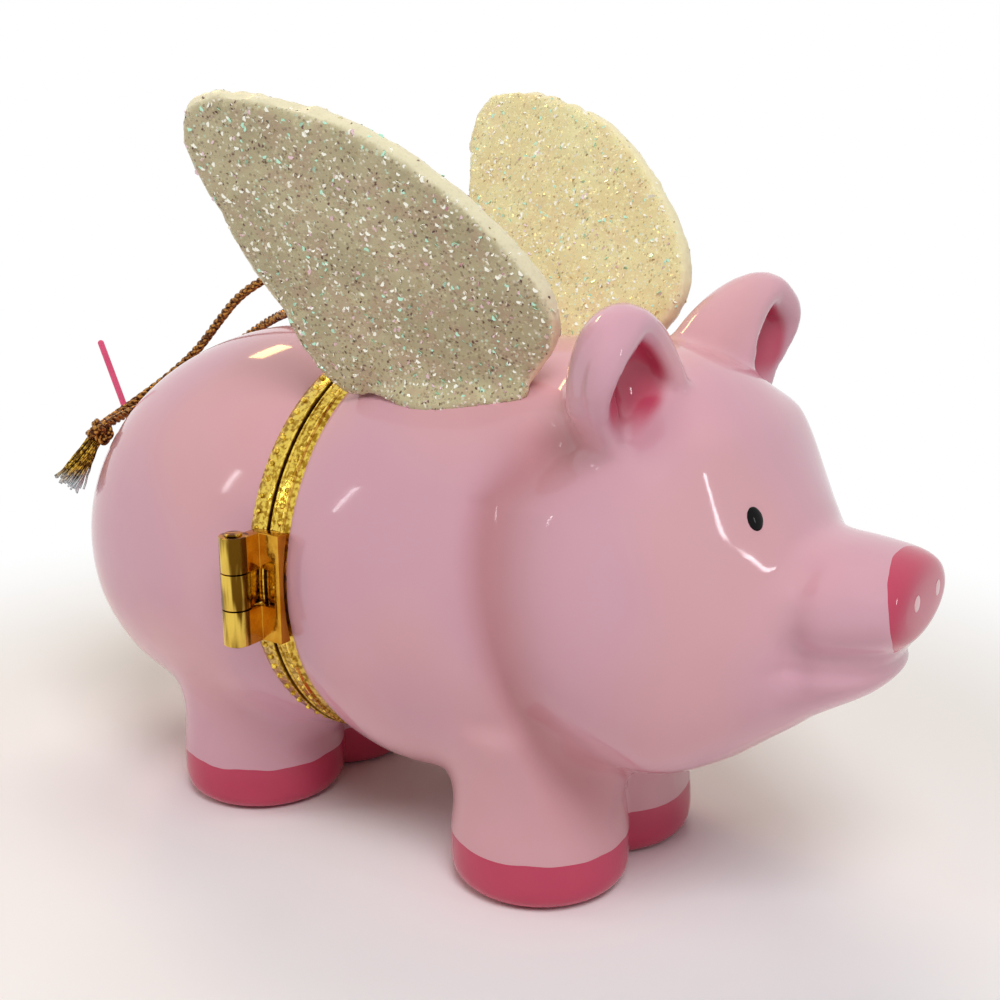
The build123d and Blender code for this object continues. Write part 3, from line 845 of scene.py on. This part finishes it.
def gilt():
    """Gold plate: rims mottled with painted glints, painted shade in the rims' channel and at the seam
    between them, knuckles with painted reflection streaks, and plain straps.
    """
    material, w, shader = new_material("gilt")
    place = w.place()
    parts = w.node("SeparateXYZ", {"Vector": place}).outputs
    flat = w.node("CombineXYZ", {"Y": parts["Y"], "Z": w.math("SUBTRACT", parts["Z"], axis_height)})
    radius = w.node("VectorMath", {0: flat.outputs[0]}, operation="LENGTH").outputs["Value"]
    on_rim = w.math("LESS_THAN", radius, rim_radius + rim_margin)
    # Painted glints and specks of shade: the rims' gold is mottled between dark and bright tones, and the
    # same mottle makes the bright spots smoother
    sparkle = w.range(w.noise(place, 2100.0, 3.0), 0.36, 0.60)
    rim_tone = w.mix(sparkle, colour(170, 128, 30), colour(248, 216, 96))
    worn = w.range(w.noise(place, 500.0, 2.0), 0.35, 0.65)
    strap_tone = w.mix(worn, colour(196, 136, 34), colour(214, 160, 56))
    beside_pin = w.node("CombineXYZ", {"X": w.math("SUBTRACT", parts["X"], pin_x),
                                       "Y": w.math("SUBTRACT", parts["Y"], pin_y)})
    from_pin = w.node("VectorMath", {0: beside_pin.outputs[0]}, operation="LENGTH").outputs["Value"]
    on_knuckle = w.math("LESS_THAN", from_pin, knuckle_radius + knuckle_margin)
    # Painted reflection: dark and bright streaks along the knuckles, standing in for the surroundings
    # mirrored in the round metal
    drawn = w.node("VectorMath", {0: place, 1: (1.0, 1.0, 0.12)}, operation="MULTIPLY").outputs[0]
    reflection_streaks = w.range(w.noise(drawn, 1100.0, 2.0), 0.40, 0.62)
    knuckle_tone = w.mix(reflection_streaks, colour(98, 66, 14), colour(226, 190, 84))
    tone = w.mix(on_knuckle, w.mix(on_rim, strap_tone, rim_tone), knuckle_tone)
    # Painted shade: the channel where the beads sit and the seam between the two rims are darkened towards
    # a deep brownish gold
    sunk = w.range(radius, rim_radius - channel_low, rim_radius - channel_high, 0.22, 0.0)
    channel = w.math("MULTIPLY", on_rim, sunk)
    from_seam = w.math("ABSOLUTE", w.math("SUBTRACT", parts["X"], seam_x))
    seam = w.math("MULTIPLY", on_rim, w.range(from_seam, seam_dark, seam_end, 0.92, 0.0))
    painted_shade = w.math("MAXIMUM", channel, seam)
    dents = w.node("Bump", {"Height": w.noise(place, 1100.0, 2.0), "Distance": 0.10 * mm,
                            "Strength": w.range(on_rim, 0.0, 1.0, 0.08, 0.45)})
    dress(w, shader, Base_Color=w.mix(painted_shade, tone, colour(92, 62, 14)), Metallic=1.0,
          Roughness=w.range(sparkle, 0.0, 1.0, 0.26, 0.12), Normal=dents.outputs["Normal"])
    return material


def spread_tones(w, fac, tones):
    """Distinct colours, each on its share of a value: (start, colour) pairs."""
    ramp = w.node("ValToRGB", {"Fac": fac})
    ramp.color_ramp.interpolation = "CONSTANT"
    elements = ramp.color_ramp.elements
    for element, (start, tone) in zip(elements, tones):
        element.position = start
        element.color = tone
    for start, tone in tones[2:]:
        elements.new(start).color = tone
    return ramp.outputs["Color"]


def wing_varnish(name, ground, ground_dark, edge, brown, speck, speck_share):
    """Fine glitter in clear varnish on a wing's faces, and a pale edge with few specks."""
    material, w, shader = new_material(name)
    mottle = placed_group(w, "kiln_mottle", Scale=180.0, Depth=0.10)
    face = w.node("Attribute", attribute_name="face_share").outputs["Fac"]
    base = w.mix(w.range(mottle["Tone"], 0.97, 1.03), ground_dark, ground)
    base = w.mix(w.range(w.noise(w.place(), 420.0, 2.0), 0.48, 0.62, 0.0, 0.5), base, brown)
    tatter = w.math("MULTIPLY", w.math("SUBTRACT", w.noise(w.place(), 700.0), 0.5), 0.6)
    ragged = w.math("ADD", face, tatter)
    base = w.mix(w.range(ragged, 0.45, 0.95), edge, base)
    fine = placed_group(w, "flakes", Scale=3300.0, Share=0.75, Tilt=1.1)
    on_face = w.math("MULTIPLY", fine["Mask"], w.range(ragged, 0.35, 0.9, 0.12, 1.0))
    tones = spread_tones(w, fine["Chance"], [
        (0.0, speck), (speck_share, ground_dark), (speck_share + 0.24, colour(244, 240, 220)),
        (speck_share + 0.38, colour(206, 232, 206)), (speck_share + 0.44, ground)])
    base = w.mix(w.math("MULTIPLY", on_face, 0.62), base, tones)
    normal = w.node("Mix", data_type="VECTOR")
    w.set(normal.inputs["Factor"], w.math("MULTIPLY", on_face, 0.7))
    w.set(normal.inputs[4], w.node("NewGeometry").outputs["Normal"])
    w.set(normal.inputs[5], fine["Normal"])
    grains = w.node("Bump", {"Height": w.noise(w.place(), 1500.0, 3.0), "Strength": 0.45,
                             "Distance": 0.2 * mm, "Normal": normal.outputs[1]})
    dress(w, shader, Base_Color=base, Metallic=w.math("MULTIPLY", on_face, 0.35),
          Roughness=w.range(on_face, 0.0, 1.0, 0.5, 0.25), Normal=grains.outputs["Normal"],
          Coat_Weight=0.3, Coat_Roughness=0.2)
    return material


def chip_foil(name, tones):
    """Foil of the larger glitter chips, each in one of some tones."""
    material, w, shader = new_material(name)
    tint = w.node("Attribute", attribute_name="tint").outputs["Fac"]
    dress(w, shader, Base_Color=spread_tones(w, tint, tones), Metallic=0.6,
          Roughness=w.range(w.noise(w.place(), 900.0, 1.0), 0.3, 0.7, 0.14, 0.30))
    return material


def thread(name, tone, shade, tip=None):
    """Metallic thread; with a tip tone, it pales towards the tassel's end."""
    material, w, shader = new_material(name)
    place = w.place()
    glint = w.range(w.noise(place, 2600.0, 3.0), 0.4, 0.62)
    base = w.mix(glint, shade, tone)
    if tip:
        height = w.node("SeparateXYZ", {"Vector": place}).outputs["Z"]
        base = w.mix(w.range(height, tassel_end.z + 0.2 * mm, tassel_end.z + 2.4 * mm, 1.0, 0.0), base, tip)
    dress(w, shader, Base_Color=base, Metallic=0.85, Roughness=w.range(glint, 0.0, 1.0, 0.42, 0.24))
    return material


# Rims, hinge, clasp and hanging eye

def turned_about_mouth(bm, profile, steps=192):
    """Turn a profile of (x, radius) about the mouth's axis."""
    verts = [bm.verts.new((x, 0, axis_height + radius)) for x, radius in profile]
    edges = [bm.edges.new(pair) for pair in zip(verts, verts[1:] + verts[:1])]
    bmesh.ops.spin(bm, geom=verts + edges, cent=(0, 0, axis_height), axis=(1, 0, 0), angle=tau, steps=steps,
                   use_merge=True)
    bmesh.ops.recalc_face_normals(bm, faces=bm.faces)


def rim(half, name, bead_place, material):
    """A turned rim with two lips, and beads in the channel between them."""
    face = seam_x + half * rim_face
    inner = mouth_radius + 0.05 * mm
    mouth = mouth_radius - porcelain_wall
    steps = front_rim_steps if half > 0 else rear_rim_steps
    profile = [(face + half * along * mm, rim_radius - drop * mm) for along, drop in steps]
    profile += [(face + half * rim_width, rim_radius - rim_lip), (face + half * rim_width, inner),
                (face + half * flange, inner), (face + half * flange, mouth), (face, mouth)]
    bm = bmesh.new()
    turned_about_mouth(bm, profile)
    band = new_object(name, bm, [material], sharp=50)
    rng = random.Random(7 if half > 0 else 8)

    def bead(batch, index):
        turn = tau * (index + 0.5 * (half < 0) + rng.uniform(-0.16, 0.16)) / bead_count
        size = rng.uniform(*bead_radii)
        radius = rim_radius - size
        along = bead_place + rng.uniform(-0.12, 0.12) * mm
        place = Vector((face + half * along, radius * sin(turn), axis_height + radius * cos(turn)))
        bmesh.ops.create_icosphere(batch, subdivisions=2, radius=size, matrix=Matrix.Translation(place))

    beads = in_batches(bead_count, bead)
    return band, new_object(name + "_beads", beads, [material])


# Wings

def wing_surface(node, name, material):
    """A lumpy wing from its plain solid, with its flat faces noted."""
    side = 1 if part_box(node)[1].y > 0 else -1
    source = node_copy(node)
    take_in(source, joined([lambda part: roll_balls(part, side, smooth_through(wing_root, 5))]))
    bm = remeshed(source, wing_voxel)
    across = Vector()
    for face in bm.faces:
        across += face.normal * face.calc_area() * (1 if face.normal.y > 0 else -1)
    across.normalize()
    smooth_where(bm, lambda place: 1 if place.z < wing_root_top else 0.17, 18)
    bm.normal_update()
    bm.verts.index_update()
    shares = [max(ease(abs(vert.normal.dot(across)), 0.4, 0.8), 1 - ease(vert.co.z, glue_low, glue_high))
              for vert in bm.verts]
    for _ in range(9):
        shares = [(share + sum(shares[edge.other_vert(vert).index] for edge in vert.link_edges))
                  / (1 + len(vert.link_edges)) for vert, share in zip(bm.verts, shares)]
    low = min(vert.co.x for vert in bm.verts)

    def lumps(place, normal):
        rough = 1 - ease(abs(normal.dot(across)), 0.4, 0.8)
        rough *= 1 - ease(place.x - low, ragged_from, ragged_to)
        soft = sum(noise.noise(place / (size * mm)) * height for size, height in soft_lumps)
        scallops = rough * (noise.noise(place / (scallop_size * mm)) * scallop_height - scallop_sink)
        return min(soft - lump_sink + scallops, 0.0) * mm

    move_along_normals(bm, lumps)
    layer = bm.verts.layers.float.new("face_share")
    for vert, share in zip(bm.verts, shares):
        vert[layer] = share
    return new_object(name, bm, [material])


def chips(name, wing, seed, count, material):
    """Six-sided foil chips strewn on a wing's faces, each at its own tilt."""
    rng = random.Random(seed)
    mesh = wing.data
    shares = [value.value for value in mesh.attributes["face_share"].data]
    faces = [(polygon, shares[polygon.vertices[0]]) for polygon in mesh.polygons]
    weights = [polygon.area * (0.04 + share) for polygon, share in faces]
    chosen = rng.choices(faces, weights=weights, k=count)

    def chip(batch, index):
        layer = batch.verts.layers.float.get("tint") or batch.verts.layers.float.new("tint")
        polygon = chosen[index][0]
        tint = rng.random()
        radius = rng.uniform(*(small_chip_radii if tint < small_chip_share else large_chip_radii)) * mm
        tilt = Vector([rng.uniform(-chip_tilt, chip_tilt) for _ in range(3)])
        axis = (polygon.normal + tilt).normalized()
        turn = axis.to_track_quat("Z", "Y").to_matrix().to_4x4()
        turn = turn @ Matrix.Rotation(rng.uniform(0, 1), 4, "Z")
        place = Matrix.Translation(polygon.center - polygon.normal * chip_sink)
        made = bmesh.ops.create_cone(batch, cap_ends=True, segments=6, radius1=radius, radius2=radius,
                                     depth=chip_thickness, matrix=place @ turn)
        for vert in made["verts"]:
            vert[layer] = tint

    return new_object(name, in_batches(count, chip), [material], smooth=False)


# Camera, light and floor

def seen_directly(w):
    """1 for what the camera, a reflection or clear glass sees, and 0 for the light itself."""
    path = w.node("LightPath").outputs
    return w.math("MAXIMUM", path["Is Camera Ray"],
                  w.math("MAXIMUM", path["Is Glossy Ray"], path["Is Transmission Ray"]))


def set_stage():
    """A pale floor, soft light and the camera at the photograph's angle."""
    floor = bmesh.new()
    bmesh.ops.create_grid(floor, x_segments=1, y_segments=1, size=3)
    material, w, shader = new_material("floor_paper")
    dress(w, shader, Base_Color=colour(252, 252, 252), Roughness=0.9, Specular_IOR_Level=0.1)
    away = w.node("VectorMath", {0: w.place()}, operation="LENGTH").outputs["Value"]
    fade = w.math("MULTIPLY", seen_directly(w), w.range(away, *floor_fade))
    white = w.node("Emission", {"Color": (1, 1, 1, 1), "Strength": 1.0})
    both = w.node("MixShader", {0: fade, 1: shader.outputs[0], 2: white.outputs[0]})
    w.set(w.tree.nodes["Material Output"].inputs["Surface"], both.outputs[0])
    new_object("floor", floor, [material], smooth=False)
    world = bpy.data.worlds.new("studio")
    bpy.context.scene.world = world
    world.use_nodes = True
    w = Wiring(world.node_tree)
    background = world.node_tree.nodes["Background"]
    w.set(background.inputs["Color"], (1, 1, 1, 1))
    w.set(background.inputs["Strength"], w.range(seen_directly(w), 0.0, 1.0, 0.17, 1.0, smooth=False))
    middle = Vector((0, 0, 35)) * mm
    # Place, width and height, watts, tint, and whether glossy surfaces show the lamp
    lamps = {
        "key": ((180, -180, 343), (170, 170), 0.87, (0.99, 0.985, 1.0), False),
        "fill": ((-300, -200, 160), (170, 170), 0.28, (1.0, 0.94, 0.88), False),
        "top": ((-60, 120, 380), (200, 200), 0.42, (1.0, 0.91, 0.80), False),
        "window": ((345, 25, 165), (12, 80), 0.06, (0.96, 0.98, 1.0), True),
        "side_window": ((-192, -209, 146), (5, 56), 0.012, (0.98, 0.99, 1.0), True),
        "bulb": ((-216, 99, 229), (52, 30), 0.075, (1.0, 0.62, 0.22), True),
    }
    for name, (place, size, watts, tint, glossy) in lamps.items():
        light = bpy.data.lights.new(name, "AREA")
        light.shape = "RECTANGLE"
        light.size, light.size_y = size[0] * mm, size[1] * mm
        light.energy = watts
        light.color = tint
        lamp = bpy.data.objects.new(name, light)
        lamp.location = Vector(place) * mm
        lamp.rotation_euler = (middle - lamp.location).to_track_quat("-Z", "Y").to_euler()
        lamp.visible_glossy = glossy
        bpy.context.scene.collection.objects.link(lamp)
    camera = bpy.data.objects.new("camera", bpy.data.cameras.new("camera"))
    camera.data.sensor_width = 36
    camera.data.lens = camera_lens
    camera.data.clip_start = 0.01
    camera.location = camera_place
    camera.rotation_euler = (radians(90 - camera_drop), 0, radians(camera_turn))
    bpy.context.scene.collection.objects.link(camera)
    bpy.context.scene.camera = camera
    bpy.context.scene.view_settings.view_transform = "Standard"


set_stage()

# Cords
thread_material = thread("cord_thread", colour(186, 132, 62), colour(78, 40, 24))


def plain_mesh(curve):
    """The mesh that a curve gives, without the curve."""
    holder = bpy.data.objects.new("holder", curve)
    mesh = bpy.data.meshes.new_from_object(holder)
    bpy.data.objects.remove(holder)
    bpy.data.curves.remove(curve)
    return mesh


def line_through(route, closed=False):
    """The smooth line of a route, as the points that its spline gives."""
    curve = bpy.data.curves.new("line", "CURVE")
    curve.dimensions = "3D"
    curve.resolution_u = 24
    spline = curve.splines.new("NURBS")
    spline.points.add(len(route) - 1)
    for point, place in zip(spline.points, route):
        point.co = (*(Vector(place) * mm), 1)
    spline.order_u = 3
    spline.use_endpoint_u = not closed
    spline.use_cyclic_u = closed
    return [vert.co.copy() for vert in plain_mesh(curve).vertices]


def threads(name, lines, radius, material, sides=2):
    """Round threads along lines of points, as one mesh."""
    curve = bpy.data.curves.new("threads", "CURVE")
    curve.dimensions = "3D"
    curve.bevel_depth = radius
    curve.bevel_resolution = sides
    curve.use_fill_caps = True
    for line in lines:
        spline = curve.splines.new("POLY")
        spline.points.add(len(line) - 1)
        for point, place in zip(spline.points, line):
            point.co = (*place, 1)
    bm = bmesh.new()
    bm.from_mesh(plain_mesh(curve))
    bmesh.ops.remove_doubles(bm, verts=bm.verts, dist=1e-7)
    bmesh.ops.recalc_face_normals(bm, faces=bm.faces)
    return new_object(name, bm, [material])


def plies(points, pitch, offset, count=3):
    """The lines of plies twisted round a line of points."""
    along = (points[1] - points[0]).normalized()
    across = along.orthogonal().normalized()
    lines = [[] for _ in range(count)]
    length = 0
    for index, point in enumerate(points):
        if index:
            step = point - points[index - 1]
            length += step.length
            across.rotate(along.rotation_difference(step))
            along = step.normalized()
        up = along.cross(across)
        for number, line in enumerate(lines):
            turn = tau * (length / pitch + number / count)
            line.append(point + offset * (cos(turn) * across + sin(turn) * up))
    return lines


def strand(name, route, node):
    """One strand of the cord, three plies twisted along its route."""
    points = line_through(route)
    obj = threads(name, plies(points, ply_pitch, ply_offset), ply_radius, thread_material)
    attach(obj, "rear_half")
    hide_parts(node)
    return obj


def knot_twist():
    """The knot: the cord wound over itself."""
    turn = (tassel_end - knot_place).to_track_quat("Z", "Y")
    route = []
    for step in range(24):
        t = tau * step / 24
        wound = Vector((sin(t) + 2 * sin(2 * t), cos(t) - 2 * cos(2 * t), -1.9 * sin(3 * t)))
        wound.rotate(turn)
        route.append(tuple(knot_place / mm + knot_size * wound))
    points = line_through(route, closed=True)
    lines = plies(points + points[:1], ply_pitch, ply_offset)
    return threads("knot_twist", lines, ply_radius, thread_material)


def tassel_threads():
    """Frayed threads that spread below the knot."""
    rng = random.Random(11)
    run = tassel_end - knot_place
    turn = run.to_track_quat("Z", "Y")
    lines = []
    for _ in range(tassel_count):
        angle = rng.uniform(0, tau)
        spread = sqrt(rng.random())
        reach = rng.uniform(0.86, 1.0)
        line = []
        for step in range(9):
            t = step / 8
            radius = spread * (tassel_neck + tassel_spread * t ** 1.4)
            sway = Vector([rng.uniform(-1, 1) for _ in range(3)]) * tassel_sway * t
            offset = Vector((radius * cos(angle + 0.9 * t), radius * sin(angle + 0.9 * t), 0)) + sway
            offset.rotate(turn)
            line.append(knot_place + run * (0.14 + (reach - 0.14) * t) + offset)
        lines.append(line)
    return threads("tassel_threads", lines, tassel_radius, tassel_material, sides=1)


tassel_material = thread("tassel_thread", colour(214, 172, 62), colour(96, 64, 18), colour(206, 212, 216))
knot = knot_twist()
tassel = tassel_threads()
for piece, node in ((knot, "cord_knot"), (tassel, "cord_tassel")):
    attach(piece, "rear_half")
    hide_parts(node)
strand("far_strand", far_strand_route, "cord_strand_far")
strand("near_strand", near_strand_route, "cord_strand_near")

# Porcelain halves
pink = pink_glaze()
white = plain_paint("white_glaze", colour(244, 238, 233), colour(236, 228, 222), 0.15, scale=90.0)
for half, node, body in ((1, "front_body", "front_half"), (-1, "rear_body", "rear_half")):
    shell = porcelain(half, node + "_glazed", [pink, white])
    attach(shell, body)
    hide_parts(node)

# Metal
gold = gilt()
for half, node, body, bead_place in ((1, "front_bezel", "front_half", 1.0 * mm),
                                     (-1, "rear_bezel", "rear_half", 1.5 * mm)):
    band, beads = rim(half, node + "_band", bead_place, gold)
    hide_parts(node)
    for piece in (band, beads):
        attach(piece, body)
for node, body in (("front_hinge_leaf", "front_half"), ("rear_hinge_leaf", "rear_half"),
                   ("hinge_pin", "front_half"), ("clasp_tab", "front_half"), ("clasp_stud", "rear_half"),
                   ("hanging_eye", "rear_half")):
    piece = softened(node + "_plated", node, 0.10 * mm, gold)
    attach(piece, body)
    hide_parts(node)
tail = plain_paint("tail_paint", colour(240, 98, 140), colour(222, 76, 118), 0.3)
piece = softened("tail_painted", "tail_wire", 0.05 * mm, tail)
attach(piece, "rear_half")
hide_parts("tail_wire")

# Wings
# Both wings are one glitter varnish: the near wing's copy is painted darker and more olive as painted shade
# on its shaded face, and the far wing's copy paler and warmer as painted light on its lit face
near_shaded_varnish = wing_varnish("near_wing_varnish_shaded", colour(206, 196, 156), colour(178, 168, 130),
                            colour(236, 228, 192), colour(186, 156, 130), colour(122, 98, 80), 0.24)
far_lit_varnish = wing_varnish("far_wing_varnish_lit", colour(242, 236, 180), colour(232, 216, 158),
                           colour(240, 230, 186), colour(236, 212, 164), colour(176, 152, 106), 0.10)
# The chip foils are the same foil, the near one painted darker as painted shade and the far one paler as
# painted light
near_shaded_foil = chip_foil("near_chip_foil_shaded", [
    (0.0, colour(118, 90, 80)), (0.22, colour(168, 152, 112)), (0.32, colour(250, 248, 234)),
    (0.78, colour(190, 240, 214)), (0.92, colour(230, 198, 204))])
far_lit_foil = chip_foil("far_chip_foil_lit", [
    (0.0, colour(186, 158, 108)), (0.14, colour(250, 238, 180)), (0.50, colour(252, 250, 236)),
    (0.82, colour(190, 240, 214)), (0.95, colour(240, 216, 220))])
for node, word, surface, foil, seed, count in (
        ("wing_right", "near", near_shaded_varnish, near_shaded_foil, 3, 2400),
        ("wing_left", "far", far_lit_varnish, far_lit_foil, 5, 1500)):
    wing = wing_surface(node, word + "_wing_glittered", surface)
    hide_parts(node)
    for piece in (wing, chips(word + "_wing_chips", wing, seed, count, foil)):
        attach(piece, "front_half")

# Eyes and nostrils
eye_paint = plain_paint("eye_paint", colour(12, 9, 10), colour(6, 4, 5), 0.04, 0.15)
nostril_paint = plain_paint("nostril_paint", colour(238, 196, 198), colour(232, 184, 190), 0.12)
head = bmesh.new()
head.from_mesh(bpy.data.objects["front_body_glazed"].data)
skin = BVHTree.FromBMesh(head)
head.free()
for side, word, eye_place in ((-1, "near", near_eye_place), (1, "far", far_eye_place)):
    eye = lens(word + "_eye", skin, eye_place, eye_half_sizes, eye_paint)
    nostril = lens(word + "_nostril", skin, nostril_place * Vector((1, side, 1)), nostril_half_sizes,
                   nostril_paint)
    for piece in (eye, nostril):
        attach(piece, "front_half")
